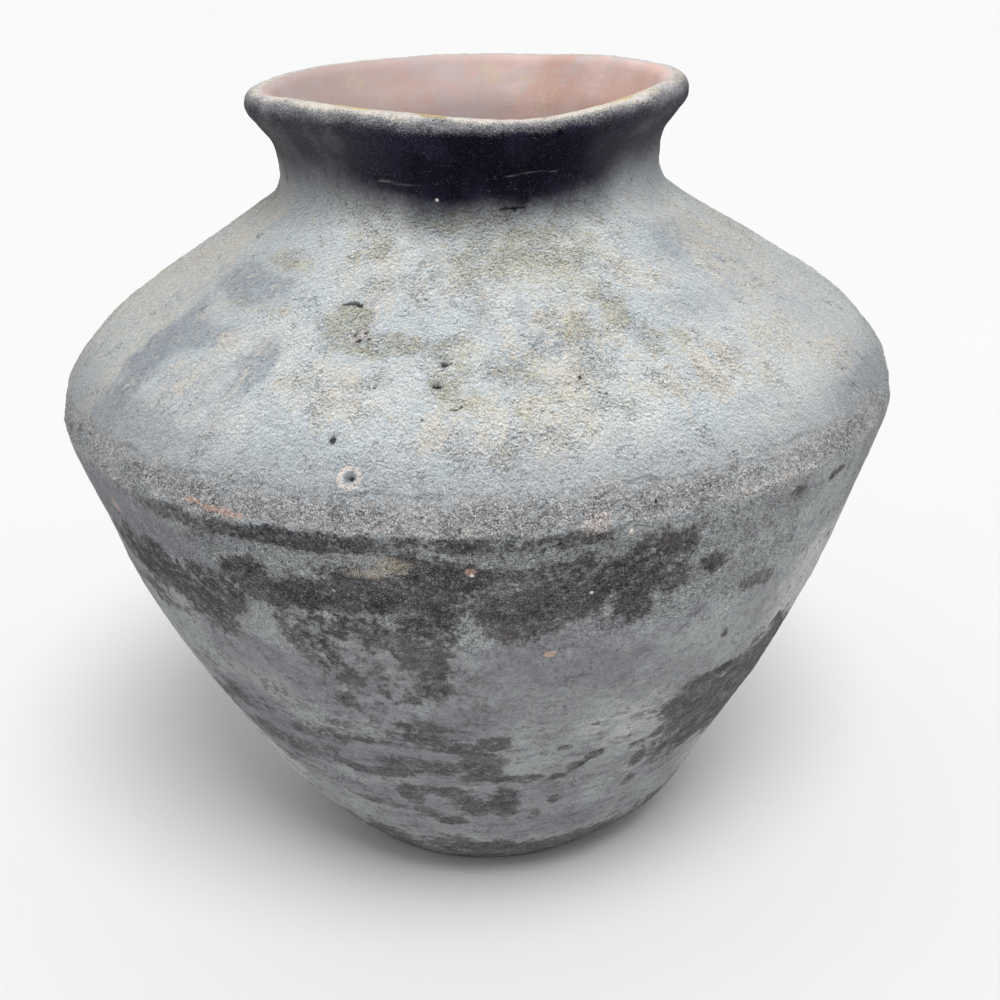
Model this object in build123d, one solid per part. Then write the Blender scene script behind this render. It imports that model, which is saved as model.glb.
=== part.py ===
from build123d import *
import math
import os

# A hand-built jar of smoked clay with a sharp shoulder ridge, a short neck and an everted lip.
# It is built up as the potter builds it: a base pad, rings of clay laid one on another, a
# thicker coil at the ridge, a collar for the neck and a last coil for the lip. Each ring meets
# the next on a bevelled face, where wet clay was luted to wet clay.
# Millimetres, +Z up, origin at the centre of the resting face.

# Driving dimensions
HEIGHT = 332.0
BASE_RADIUS = 66.5
WALL = 9.5
FLOOR = 12.0
LIP_RADIUS = 91.5
LIP_WIDTH = 11.5

# Outside of the body from the resting face up to the throat: radius, height, rounding radius
BODY = [
    (BASE_RADIUS, 0.0, 4.0),
    (92.0, 22.5, 90.0),
    (147.0, 118.5, 360.0),
    (178.5, 211.0, 26.0),
    (156.5, 236.5, 75.0),
    (78.0, 289.5, 15.0),
    (79.5, 310.0, 19.0),
]
# The lip, from its outer face over the crest to its inner edge
LIP = [
    (LIP_RADIUS - 1.0, HEIGHT - 8.0, 7.0),
    (LIP_RADIUS, HEIGHT, 5.0),
    (LIP_RADIUS - LIP_WIDTH, HEIGHT, 5.0),
]
SMALLEST_INNER_ROUNDING = 12.0

# Heights on the outside where one piece of clay ends and the next begins
PAD_TOP = 14.0
RIDGE_BOTTOM = 193.0
RIDGE_TOP = 230.0
COLLAR_BOTTOM = 286.0
COLLAR_TOP = 307.0
LOWER_COURSES = 5
SHOULDER_COURSES = 4
BEVEL = 30.0        # degrees that a luted face leans up from square across the wall
OVERRUN = 6.0       # how far a cutting line runs past the wall on each side

TOUCHING = 0.001    # solids nearer than this are taken to touch

# Lime grains at the surface: degrees from the front (-Y) towards +X, height, grain radius
GRAINS = [
    (-1.4, 188.4, 1.8),
    (13.0, 176.2, 1.5),
    (16.9, 200.6, 1.2),
    (20.2, 198.7, 1.2),
    (-9.1, 297.8, 1.1),
    (-15.2, 222.0, 2.0),
]
GRAIN_DEPTH = 0.7   # how deep a grain's centre lies, as a part of its radius


def meeting(start_a, along_a, start_b, along_b):
    """The point where two straight lines of the section cross."""
    gap = start_b - start_a
    turn = along_a.X * along_b.Y - along_a.Y * along_b.X
    reach = (gap.X * along_b.Y - gap.Y * along_b.X) / turn
    return start_a + along_a * reach


def inner_corners(corners, depths):
    """The corners of an open outline moved inwards by its own depth along each stretch."""
    lines = []
    for start, end, depth in zip(corners, corners[1:], depths):
        along = (end - start).normalized()
        lines.append((start + Vector(-along.Y, along.X) * depth, along))
    return [meeting(*first, *second) for first, second in zip(lines, lines[1:])]


def inner_rounding(before, corner, after, outer_radius, depth):
    """The rounding that keeps the wall even round a corner of the outline."""
    first = corner - before
    second = after - corner
    bulges_out = first.X * second.Y - first.Y * second.X > 0
    even = outer_radius - depth if bulges_out else outer_radius + depth
    return max(even, SMALLEST_INNER_ROUNDING)


def wall_section():
    """Half of the pot cut through its axis, as a face with radius along X and height along Y."""
    outer = [Vector(radius, height) for radius, height, _ in BODY]
    lip = [Vector(radius, height) for radius, height, _ in LIP]
    path = [Vector(0, 0)] + outer + [lip[0]]
    depths = [FLOOR] + [WALL] * len(outer)
    inner = inner_corners(path, depths)
    inner_radii = [
        inner_rounding(path[i], path[i + 1], path[i + 2], BODY[i][2], WALL)
        for i in range(len(BODY))
    ]
    points = [Vector(0, 0)] + outer + lip + inner[::-1] + [Vector(0, FLOOR)]
    radii = [corner[2] for corner in BODY + LIP] + inner_radii[::-1]
    outline = FilletPolyline(*points, radius=radii)
    axis_side = Line(points[-1], points[0])
    return make_face([*outline.edges(), axis_side])


def cut_line(height):
    """The two ends of a luted face that starts at this height on the outside."""
    corners = [Vector(radius, z) for radius, z, _ in BODY]
    for start, end in zip(corners, corners[1:]):
        if start.Y <= height <= end.Y:
            break
    along = (end - start).normalized()
    across = Vector(-along.Y, along.X)
    lean = math.radians(BEVEL)
    direction = across * math.cos(lean) + along * math.sin(lean)
    surface = start + along * ((height - start.Y) / along.Y)
    thickness = WALL / math.cos(lean)
    return surface - direction * OVERRUN, surface + direction * (thickness + OVERRUN)


def evenly(first, last, count):
    """The heights of the joints inside a stretch of equal courses, its ends included."""
    return [first + (last - first) * i / count for i in range(count + 1)]


def courses():
    """Every course from the bottom up: its name and the heights where it starts and ends."""
    lower = evenly(PAD_TOP, RIDGE_BOTTOM, LOWER_COURSES)
    shoulder = evenly(RIDGE_TOP, COLLAR_BOTTOM, SHOULDER_COURSES)
    spans = [(f"lower_course_{i + 1}", lower[i], lower[i + 1]) for i in range(LOWER_COURSES)]
    spans.append(("ridge_coil", RIDGE_BOTTOM, RIDGE_TOP))
    spans += [
        (f"shoulder_course_{i + 1}", shoulder[i], shoulder[i + 1]) for i in range(SHOULDER_COURSES)
    ]
    spans.append(("neck_collar", COLLAR_BOTTOM, COLLAR_TOP))
    return spans


def spin(sketch):
    """A section turned once round the pot's axis."""
    return revolve(Plane.XZ * sketch, axis=Axis.Z)


def base_pad(section):
    """The disc of clay that the pot stands on, with the heel and the start of the wall."""
    outside, inside = cut_line(PAD_TOP)
    below = Polygon((0, -1), (outside.X, -1), outside, inside, (0, inside.Y), align=None)
    return spin(section & below)


def course(section, bottom, top):
    """One ring of clay between two luted faces."""
    bottom_outside, bottom_inside = cut_line(bottom)
    top_outside, top_inside = cut_line(top)
    band = Polygon(bottom_outside, top_outside, top_inside, bottom_inside, align=None)
    return spin(section & band)


def rim_coil(section):
    """The last coil, pressed outwards and rounded over as the lip."""
    outside, inside = cut_line(COLLAR_TOP)
    above_lip = HEIGHT + OVERRUN
    past_lip = LIP_RADIUS + OVERRUN
    band = Polygon(
        outside, (past_lip, outside.Y), (past_lip, above_lip), (inside.X, above_lip), inside,
        align=None,
    )
    return spin(section & band)


def outer_radius(height):
    """The pot's outer radius at a height on one of its straight stretches."""
    for (low_radius, low, _), (high_radius, high, _) in zip(BODY, BODY[1:]):
        if low <= height <= high:
            break
    return low_radius + (high_radius - low_radius) * (height - low) / (high - low)


def lime_grains():
    """Every lime grain, as a ball sunk in the wall with its poles along Y."""
    grains = []
    for degrees, height, radius in GRAINS:
        reach = outer_radius(height) - radius * GRAIN_DEPTH
        angle = math.radians(degrees)
        place = Pos(reach * math.sin(angle), -reach * math.cos(angle), height)
        grains.append(place * Rot(X=90) * Sphere(radius))
    return grains


def with_pits(body, grains):
    """A course with the pits that its lime grains sit in."""
    for grain in grains:
        if body.distance_to(grain) < TOUCHING:
            body = body - grain
    return body


section = wall_section()
grains = lime_grains()
nodes = {"base_pad": base_pad(section)}
for name, bottom, top in courses():
    nodes[name] = with_pits(course(section, bottom, top), grains)
nodes["rim_coil"] = rim_coil(section)
nodes["lime_grains"] = Compound(children=grains)

os.makedirs("parts", exist_ok=True)
for name, shape in nodes.items():
    export_step(shape, f"parts/{name}.step")
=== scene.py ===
import math

import bmesh
import bpy
import numpy as np
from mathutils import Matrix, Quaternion, Vector
from mathutils import noise as mathutils_noise


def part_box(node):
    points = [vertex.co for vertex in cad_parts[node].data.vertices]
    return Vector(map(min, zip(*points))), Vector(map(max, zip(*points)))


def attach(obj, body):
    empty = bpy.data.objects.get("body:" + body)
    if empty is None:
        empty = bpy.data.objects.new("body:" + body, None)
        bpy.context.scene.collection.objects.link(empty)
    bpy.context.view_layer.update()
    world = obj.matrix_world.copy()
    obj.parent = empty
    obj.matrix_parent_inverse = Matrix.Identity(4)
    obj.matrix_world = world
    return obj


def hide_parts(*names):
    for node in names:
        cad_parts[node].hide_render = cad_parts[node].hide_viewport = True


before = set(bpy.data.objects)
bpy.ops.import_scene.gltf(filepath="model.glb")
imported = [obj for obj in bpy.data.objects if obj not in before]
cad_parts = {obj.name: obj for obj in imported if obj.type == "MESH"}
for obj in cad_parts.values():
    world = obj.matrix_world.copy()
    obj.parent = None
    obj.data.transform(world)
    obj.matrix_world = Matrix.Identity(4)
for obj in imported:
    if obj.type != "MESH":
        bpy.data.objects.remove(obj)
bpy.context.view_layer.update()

MM = 0.001
BODY_NAME = "root"
FRONT = -math.pi / 2            # the angle about +Z of the side that faces the camera

# ---- The pot's section, as its CAD source has it: radius, height and rounding in mm ----
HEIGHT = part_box("rim_coil")[1].z / MM
WALL = 9.5
FLOOR = 12.0
BODY = [
    (66.5, 0.0, 4.0),
    (92.0, 22.5, 90.0),
    (147.0, 118.5, 360.0),
    (178.5, 211.0, 26.0),
    (156.5, 236.5, 75.0),
    (78.0, 289.5, 15.0),
    (79.5, 310.0, 19.0),
]
LIP = [
    (90.5, HEIGHT - 8.0, 7.0),
    (91.5, HEIGHT, 5.0),
    (80.0, HEIGHT, 5.0),
]
SMALLEST_INNER_ROUNDING = 12.0
JOINT_HEIGHTS = [14.0, 49.8, 85.6, 121.4, 157.2, 193.0, 230.0, 244.0, 258.0, 272.0, 286.0, 307.0]
BEVEL = math.radians(30.0)
NODES = (
    ["base_pad"]
    + [f"lower_course_{i}" for i in range(1, 6)]
    + ["ridge_coil"]
    + [f"shoulder_course_{i}" for i in range(1, 5)]
    + ["neck_collar", "rim_coil"]
)

# How finely the surface is meshed
COLUMNS = 1152
OUTSIDE_STEP = 1.0
MOUTH_STEP = 1.6
INSIDE_STEP = 5.0
UNDER_STEP = 2.0
MOUTH_SPANS = 3                 # stretches between joins, from the crest in, with MOUTH_STEP
DENSE_STEP = 0.05
MIDDLE_GAP = int(3.0 / DENSE_STEP)      # the rings stop 3 mm short of the axis
SHORTEST_EDGE = 0.3
FEWEST_COLUMNS = 36


def left_of(along):
    """The unit vectors square to these, to their left."""
    return np.column_stack((-along[:, 1], along[:, 0]))


def unit(vectors):
    """The same directions, one long."""
    return vectors / np.linalg.norm(vectors, axis=-1, keepdims=True)


def inner_corners(corners, depths):
    """The corners of an open outline moved inwards by its own depth along each stretch."""
    along = unit(np.diff(corners, axis=0))
    starts = corners[:-1] + left_of(along) * depths[:, None]
    gap = np.diff(starts, axis=0)
    a, b = along[:-1], along[1:]
    reach = (gap[:, 0] * b[:, 1] - gap[:, 1] * b[:, 0]) / (a[:, 0] * b[:, 1] - a[:, 1] * b[:, 0])
    return starts[:-1] + a * reach[:, None]


def rounded(corners, radii):
    """An open outline with its corners rounded, as closely spaced points."""
    points = [corners[0]]
    for before, corner, after, radius in zip(corners, corners[1:], corners[2:], radii):
        to_before, to_after = unit(before - corner), unit(after - corner)
        half_turn = (math.pi - math.acos(np.clip(to_before @ to_after, -1, 1))) / 2
        setback = radius * math.tan(half_turn)
        start, end = corner + to_before * setback, corner + to_after * setback
        centre = corner + unit(to_before + to_after) * radius / math.cos(half_turn)
        steps = max(4, int(2 * half_turn * radius / DENSE_STEP))
        for share in np.linspace(0, 1, steps):
            chord = start + (end - start) * share - centre
            points.append(centre + unit(chord) * radius)
    points.append(corners[-1])
    points = np.array(points)
    travelled = np.r_[0, np.cumsum(np.linalg.norm(np.diff(points, axis=0), axis=1))]
    even = np.arange(0, travelled[-1], DENSE_STEP)
    return np.column_stack([np.interp(even, travelled, points[:, i]) for i in (0, 1)])


def whole_section():
    """The outline from the middle of the underside, up the outside, over the lip and down
    the inside to the middle of the floor."""
    body = np.array(BODY)
    lip = np.array(LIP)
    path = np.vstack(([0, 0], body[:, :2], lip[:1, :2]))
    depths = np.r_[FLOOR, np.full(len(body), WALL)]
    inner = inner_corners(path, depths)
    inner_radii = []
    for i in range(len(body)):
        first, second = path[i + 1] - path[i], path[i + 2] - path[i + 1]
        bulges_out = first[0] * second[1] - first[1] * second[0] > 0
        even = body[i, 2] - WALL if bulges_out else body[i, 2] + WALL
        inner_radii.append(max(even, SMALLEST_INNER_ROUNDING))
    corners = np.vstack(([0, 0], body[:, :2], lip[:, :2], inner[::-1], [0, FLOOR]))
    radii = np.r_[body[:, 2], lip[:, 2], inner_radii[::-1]]
    return rounded(corners, radii)


section = whole_section()
along_section = np.gradient(section, axis=0)
outward = -left_of(unit(along_section))
CREST = int(np.argmax(section[:, 1])) + int(2.5 / DENSE_STEP)


def joint_stations():
    """Where each luted face starts on the outside and ends on the inside of the section."""
    outside, inside = [], []
    for height in JOINT_HEIGHTS:
        i = int(np.argmax(section[:CREST, 1] >= height))
        along = unit(along_section[i])
        across = np.array((-along[1], along[0]))
        reach = (across * math.cos(BEVEL) + along * math.sin(BEVEL)) * WALL / math.cos(BEVEL)
        gaps = np.linalg.norm(section[CREST:] - (section[i] + reach), axis=1)
        outside.append(i)
        inside.append(CREST + int(np.argmin(gaps)))
    return outside, inside


outside_joints, inside_joints = joint_stations()


# ---- Rings: the section's stations, each turned round the axis with its own columns ----
def spread(first, last, step):
    """Stations from first to last, both included, about a step apart."""
    count = max(2, int(round(abs(last - first) * DENSE_STEP / step)) + 1)
    return np.linspace(first, last, count).round().astype(int)


def stations():
    """Every ring's place on the section: the outside from the underside's middle, then the inside."""
    marks = [MIDDLE_GAP] + outside_joints + [CREST]
    steps = [UNDER_STEP] + [OUTSIDE_STEP] * len(outside_joints)
    marks += inside_joints[::-1] + [len(section) - 1 - MIDDLE_GAP]
    steps += [MOUTH_STEP] * MOUTH_SPANS + [INSIDE_STEP] * len(inside_joints)
    return np.unique(np.concatenate([spread(*ends) for ends in zip(marks, marks[1:], steps)]))


def columns_at(place):
    """How many columns a ring has: fewer deep inside, and fewer where the ring is small."""
    count = COLUMNS
    if place > inside_joints[-2]:
        count //= 2
    radius = section[place, 0]
    while count > FEWEST_COLUMNS and 2 * math.pi * radius / count < SHORTEST_EDGE:
        count //= 2
    return count


def gradual(counts):
    """The same counts, with none more than twice its neighbour's."""
    for i in range(1, len(counts)):
        counts[i] = min(counts[i], 2 * counts[i - 1])
    for i in range(len(counts) - 2, -1, -1):
        counts[i] = min(counts[i], 2 * counts[i + 1])
    return counts


places = stations()
ring_columns = gradual([columns_at(p) for p in places])
ring_starts = np.r_[0, np.cumsum(ring_columns)]
ring_of = {int(p): i for i, p in enumerate(places)}

station = np.repeat(places, ring_columns)
turn = np.concatenate([np.arange(n) / n for n in ring_columns]) * 2 * math.pi
radius = section[station, 0]
height = section[station, 1]
way = station * DENSE_STEP                      # millimetres along the section
CREST_WAY = CREST * DENSE_STEP
degrees = np.degrees((turn - FRONT + math.pi) % (2 * math.pi) - math.pi)   # 0 at the front

points = np.column_stack((radius * np.cos(turn), radius * np.sin(turn), height))
normal0 = np.column_stack((
    outward[station, 0] * np.cos(turn), outward[station, 0] * np.sin(turn), outward[station, 1],
))


TIP = -1                        # stands for the axis, where the base pad's skin closes


def faces(count, *corners):
    """So many faces side by side, as arrays of (ring, column) for each corner. A corner is given as
    its ring, its columns per face and the columns to add."""
    j = np.arange(count)
    return np.stack([[ring + 0 * j, each * j + more] for ring, each, more in corners])


def stitch(a, b):
    """Blocks of faces between two rings of equal or 2:1 counts, or between a ring and the axis."""
    if a == TIP:
        return [faces(ring_columns[b], (a, 1, 0), (b, 1, 1), (b, 1, 0))]
    count = ring_columns[a]
    if b == TIP:
        return [faces(count, (a, 1, 0), (a, 1, 1), (b, 1, 0))]
    if count == ring_columns[b]:
        return [faces(count, (a, 1, 0), (a, 1, 1), (b, 1, 1), (b, 1, 0))]
    if count == 2 * ring_columns[b]:
        return [
            faces(count // 2, (a, 2, 0), (a, 2, 1), (b, 1, 0)),
            faces(count // 2, (a, 2, 1), (b, 1, 1), (b, 1, 0)),
            faces(count // 2, (a, 2, 1), (a, 2, 2), (b, 1, 1)),
        ]
    return [
        faces(count, (a, 1, 0), (b, 2, 1), (b, 2, 0)),
        faces(count, (a, 1, 0), (a, 1, 1), (b, 2, 1)),
        faces(count, (a, 1, 1), (b, 2, 2), (b, 2, 1)),
    ]


# ---- Noise and shapes on the surface, in millimetres ----
NOISE_CELLS = 256               # cells along each axis before the noise repeats
NOISE_GAIN = 1.7                # brings the noise to about -1 to 1
NOISE_START = 50                # cells from the noise's own corner to the pot's axis


class Noise:
    """Smooth gradient noise in space, about -1 to 1, the same on each run."""

    def __init__(self, seed):
        chance = np.random.default_rng(seed)
        self.order = np.tile(chance.permutation(NOISE_CELLS), 3)
        self.slopes = unit(chance.normal(size=(NOISE_CELLS, 3))).astype(np.float32)

    def __call__(self, p):
        """The noise at each point, from the slopes at its cell's eight corners."""
        cell = np.floor(p).astype(np.int32)
        part = (p - cell).astype(np.float32)
        ease = part * part * part * (part * (part * 6 - 15) + 10)
        cell %= NOISE_CELLS
        total = np.zeros(len(p), np.float32)
        for dx in (0, 1):
            wx = ease[:, 0] if dx else 1 - ease[:, 0]
            a = self.order[cell[:, 0] + dx]
            for dy in (0, 1):
                wy = ease[:, 1] if dy else 1 - ease[:, 1]
                b = self.order[a + cell[:, 1] + dy]
                for dz in (0, 1):
                    wz = ease[:, 2] if dz else 1 - ease[:, 2]
                    slope = self.slopes[self.order[b + cell[:, 2] + dz]]
                    away = part - np.array((dx, dy, dz), np.float32)
                    total += wx * wy * wz * np.einsum("ij,ij->i", slope, away)
        return total * NOISE_GAIN


def layered(noise, p, octaves, share):
    """Noise with each octave half as large and a share as strong as the one before."""
    total, strength = 0, 1.0
    for octave in range(octaves):
        total = total + noise(p * 2 ** octave) * strength
        strength *= share
    return total


def clouds(size, seed, octaves, stretch=(1, 1, 1), share=0.5):
    """Layered noise whose largest lumps are about size mm across, stretched along X, Y and Z."""
    return layered(Noise(seed), points / (size * np.array(stretch)) + NOISE_START, octaves, share)


def runs(across, along, seed, octaves=3):
    """Layered noise that runs up and down the wall: across mm wide at the ridge, along mm tall."""
    widest = radius.max()
    rolled = (widest * np.cos(turn) / across, widest * np.sin(turn) / across, way / along)
    return layered(Noise(seed), np.column_stack(rolled) + NOISE_START, octaves, 0.5)


def smooth(low, high, value):
    """0 below low, 1 above high, and an even ramp between."""
    x = np.clip((value - low) / (high - low), 0, 1)
    return x * x * (3 - 2 * x)


def bell(value, width):
    """1 where a value is nothing, falling off to either side over a width."""
    return np.exp(-((value / width) ** 2))


def from_front(at):
    """How many degrees round from a place, to either side."""
    return (degrees - at + 180) % 360 - 180


def surface_distance(at, up):
    """Millimetres round and along from a place on the outside."""
    return np.radians(from_front(at)) * radius, way - up


def pit_distance(at, up, size, stretch):
    """How far from a pit's middle, as a share of its size. Stretch makes it taller than wide."""
    across, rise = surface_distance(at, up)
    return np.hypot(across, rise / stretch) / size


def crack_distance(at, up, bend, lean):
    """Millimetres round from a crack's middle, and above its bent and leaning line."""
    across, rise = surface_distance(at, up)
    return across, rise - bend * across ** 2 - lean * across


wander_round = clouds(24, 11, 5, share=0.6) * 3.4       # degrees that patch edges stray sideways
wander_along = clouds(20, 12, 5, share=0.6) * 5.5       # millimetres that they stray up and down
tatter = clouds(12, 13, 4, share=0.65)                  # frays the edges
streaks = clouds(15, 14, 4, (2.4, 2.4, 0.45), 0.6)      # level smears
veins = 1 - 2.4 * np.abs(clouds(9, 15, 3, share=0.6))   # a net of thin lines


def patch(at, up, half_round, half_up, amount, lean=0.0):
    """A soft-edged patch centred at degrees round and mm along the outside. Lean in mm per degree.
    A small patch strays less, so that it stays where it is put."""
    stray = min(1.0, half_round / 5, half_up / 14)
    across = from_front(at) + wander_round * stray
    rise = way - up + wander_along * stray - lean * across
    distance = np.sqrt((across / half_round) ** 2 + (rise / half_up) ** 2)
    return amount * smooth(1.5, 0.5, distance)


def patches(rows):
    """The most that any patch gives at each place."""
    total = np.zeros(len(points))
    for row in rows:
        total = np.maximum(total, patch(*row))
    return total


def band(low, high, edge, value):
    """1 while a value is between two limits, fading over an edge's width."""
    return smooth(low - edge, low + edge, value) * smooth(high + edge, high - edge, value)


aside = np.abs(degrees)                                 # how far round to either side
behind = smooth(64, 88, aside)                          # 1 on the side that faces away
RIDGE_WAY = 301.0               # millimetres up the outside: the ridge, the ledge above it, the neck
LEDGE_WAY = 314.0
NECK_WAY = 440.0
ledge_wave = clouds(20, 50, 4) * 1.6                    # millimetres that the ledge strays

# Dark skin left on the lower wall: degrees round, mm along, half sizes, amount, and any lean
SOOT = [
    (-22, 296, 17, 4.5, 1, 0.05), (-40, 297, 8, 4, 0.7), (-2, 297, 10, 3.2, 0.75),
    (9, 297, 6, 3.5, 0.65), (-30, 271, 4.5, 9, 1.2), (-24, 268, 5, 7, 1.2, -0.3),
    (-16, 273, 6, 9, 1.1, 0.2), (-18, 283, 3.5, 4, 0.8), (-7, 277, 5, 14, 1.35),
    (-8, 257, 5, 9, 0.95), (-1.5, 282, 2.5, 7, 1.1), (2.5, 262, 4.2, 13, 1.4), (7, 283, 6, 5, 0.9),
    (8, 270, 4, 8, 1.05), (15, 274, 8, 14, 1), (20, 286, 5, 9, 0.95), (17, 261, 3, 7, 1.1),
    (23, 272, 3, 8, 0.85), (-52, 262, 10, 11, 1.1, -0.15), (-41, 256, 7, 14, 1.05, 0.3),
    (-40, 244, 5, 8, 0.9), (-55, 243, 7, 7, 0.6), (-18, 255, 8, 6, 0.7), (-24, 247, 4, 9, 0.65),
    (-9, 243, 3, 8, 0.95), (-8, 230, 2.2, 8, 0.75), (-21, 226, 2.2, 14, 0.6),
    (-10, 201, 3.5, 5, 0.95), (-11, 192, 4.5, 5, 0.9), (-6, 186, 6, 4, 1.15),
    (-18, 186, 6, 3, 0.62), (-12, 170, 9, 6, 0.95), (-1, 170, 4, 14, 1.15), (-22, 163, 11, 4, 0.8),
    (3, 159, 5, 3.5, 1), (8, 160, 1.8, 2, 1.1), (-12, 150, 10, 4, 0.75), (2.2, 141, 2.6, 12, 1.2),
    (-3.5, 139, 3.4, 7, 1), (-17, 144, 3, 5, 0.8), (-15, 131, 4, 4, 0.8),
    (-9.5, 126, 3.6, 3.6, 0.95), (-26, 135, 5, 5, 0.55), (-40, 168, 12, 7, 0.72, 0.1),
    (-31, 184, 7, 6, 0.72), (-46, 190, 6, 10, 0.6), (1.5, 190, 2.4, 5.5, 1.1),
    (12.5, 158.5, 1.8, 2.6, 1.1), (16, 164, 2, 2.6, 1, 1.3), (18.8, 172, 1.6, 4, 1.05, 0.8),
    (12.5, 181, 1.8, 2, 0.9), (12.5, 140, 1.7, 4, 0.95), (9, 128, 1.2, 5, 0.6),
    (30.5, 139, 2.2, 3.5, 0.8), (29.5, 157, 2.2, 6.5, 1, -0.6), (27.5, 169, 2.4, 3.5, 0.95, -0.8),
    (45, 178, 13.5, 26, 1.7, -0.35), (37, 205, 5, 4.5, 1.3, 0.5), (33, 192, 3, 9, 1.3),
    (52, 196, 9, 20, 1.4), (29.5, 274, 1.6, 4.4, 1.05), (41, 294, 2, 2.8, 1),
    (50, 293, 1.8, 2.2, 0.75), (35.8, 232, 1.1, 2.6, 0.95, 0.2), (39.5, 255, 3, 5, 0.62),
    (24.5, 286, 1.6, 7, 0.85), (-55, 181, 5, 12, 0.5),
]
# Where the soot is broken into a net of thin lines
NET = [
    (-14, 232, 10, 22, 1), (-20, 215, 8, 10, 0.8), (-3, 214, 6, 14, 0.6), (-14, 198, 10, 9, 0.7),
    (-30, 200, 14, 14, 0.6), (0, 205, 2, 9, 0.7), (-38, 150, 10, 12, 0.5),
]
# Duller grey over the lower wall
DULL = [
    (-52, 283, 18, 16, 0.75), (-33, 288, 8, 5, 0.5), (-34, 228, 14, 14, 0.6),
    (10, 236, 19, 17, 0.62), (20, 250, 16, 10, 0.5), (8, 293, 16, 5, 0.3), (30, 288, 10, 12, 0.3),
    (-46, 180, 12, 30, 0.75), (-28, 172, 16, 18, 0.7), (-20, 140, 14, 14, 0.5),
    (-8, 166, 14, 34, 0.45), (8, 120, 26, 9, 0.55), (36, 258, 10, 10, 0.3), (44, 272, 8, 8, 0.3),
    (-20, 216, 14, 20, 0.6), (-4, 205, 10, 16, 0.6),
]
# Khaki sand on the shoulder
SAND = [
    (13, 418, 20, 17, 0.9), (-2, 428, 16, 9, 0.7), (-26, 420, 7, 12, 0.65), (-44, 408, 9, 5, 0.8),
    (-23, 385, 4, 9, 0.95), (-15, 375, 8, 6, 0.9, 0.15), (-2, 358, 3.5, 13, 0.85),
    (-3, 372, 5, 6, 0.7), (7, 364, 5, 12, 0.6), (17, 378, 3.5, 7, 0.85), (26, 384, 3.5, 7, 1),
    (31, 366, 7, 8, 0.6), (15, 346, 12, 9, 0.5), (-44, 384, 12, 6, 0.5), (22, 400, 9, 10, 0.65),
    (48, 425, 18, 8, 0.5),
]
# Slate-blue smears on the shoulder
SLATE = [
    (-50, 394, 13, 10, 0.9), (-52, 366, 9, 9, 0.85), (-57, 345, 4.5, 36, 1), (-35, 362, 4, 14, 1),
    (-39, 345, 11, 13, 0.6), (-48, 326, 14, 9, 0.7), (-28, 330, 16, 12, 0.35),
    (8, 388, 1.2, 14, 0.6, 0.1), (54, 410, 14, 10, 0.7), (44, 378, 10, 8, 0.5),
    (38, 333, 5, 7, 0.5), (63, 318, 14, 8, 0.8), (-50, 312, 14, 6, 0.6), (-12, 340, 16, 12, 0.25),
]
# Pale film, creamy and a little pink, partly painted light where the light finds the shoulder's right
# and the ridge's edge
CREAM_AND_PAINTED_LIGHT = [
    (-46, 346, 6, 10, 0.4, 0.2), (-42, 366, 5, 6, 0.5), (-42, 309, 8, 3, 0.9),
    (-20, 352, 9, 12, 0.55), (4, 338, 14, 14, 0.6), (14, 372, 12, 26, 0.55),
    (40, 350, 18, 12, 0.75, 0.3), (60, 335, 7, 10, 0.65), (66, 395, 16, 26, 0.6),
    (-12, 404, 18, 14, 0.35), (38, 400, 8, 14, 0.5), (12.8, 302, 1.6, 4, 1.3),
]
# Spots where the red clay shows through the smoked skin
RAW = [
    (-1.4, 285.3, 0.6, 2, 1.4), (8.2, 242, 0.8, 1.4, 1.5, 0.3), (-31.5, 302.5, 3.5, 1.6, 1.15),
    (-36, 304, 1.8, 1.2, 1.1), (-55.5, 284, 1.4, 4, 0.7), (30.6, 208, 0.8, 1.4, 0.5),
    (118, 250, 1.2, 2.4, 1), (-130, 190, 1, 2.2, 1), (160, 302, 4, 1.8, 0.9),
    (-160, 286, 0.9, 2.6, 1.2),
]
# White clay dust caught on the ridge, and painted highlights along its lower edge
CHALK_AND_RIDGE_HIGHLIGHTS = [
    (-19, 377.8, 1.9, 3.2, 0.6), (12.8, 303, 2.4, 4.5, 0.75, 0.6), (38, 302.6, 9, 1.3, 0.55),
    (2, 302, 3, 1.6, 0.4), (-13, 303, 4, 1.6, 0.4),
]
# Ochre smudges on the lip's crest and just inside it; the two at the crest's front left are painted
# yellow highlights
OCHRE_AND_CREST_HIGHLIGHTS = [
    (-30, 484, 7, 3, 0.8), (-9, 482.5, 4, 2.6, 1), (44, 485, 10, 3, 0.7), (170, 494, 4, 5, 0.9),
    (158, 497, 3, 4, 0.6), (150, 505, 5, 8, 0.7), (-140, 496, 4, 5, 0.7), (-152, 505, 6, 7, 0.45),
]
# Paler grey on the lower wall, mostly at its sides: painted light where the sides catch it, and some
# paler tone
PALE_TONE_AND_PAINTED_SIDE_LIGHT = [
    (60, 232, 15, 32, 1), (-60, 138, 14, 26, 1), (-62, 190, 8, 24, 0.6), (60, 130, 12, 22, 0.6),
    (24, 190, 10, 18, 0.5), (-36, 212, 12, 12, 0.4),
]
# A rubbed beige place just under the ridge
BEIGE = [
    (-10.4, 286.5, 2.4, 4, 1.3), (-14, 283.5, 3, 2.4, 0.8), (132, 288, 3, 3.5, 1),
]


def far_stain(low, high, strength, size, seed, flat=1):
    """Stains of one kind on the side that faces away."""
    return smooth(low, high, clouds(size, seed, 3, (1, 1, flat))) * strength * behind


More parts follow.
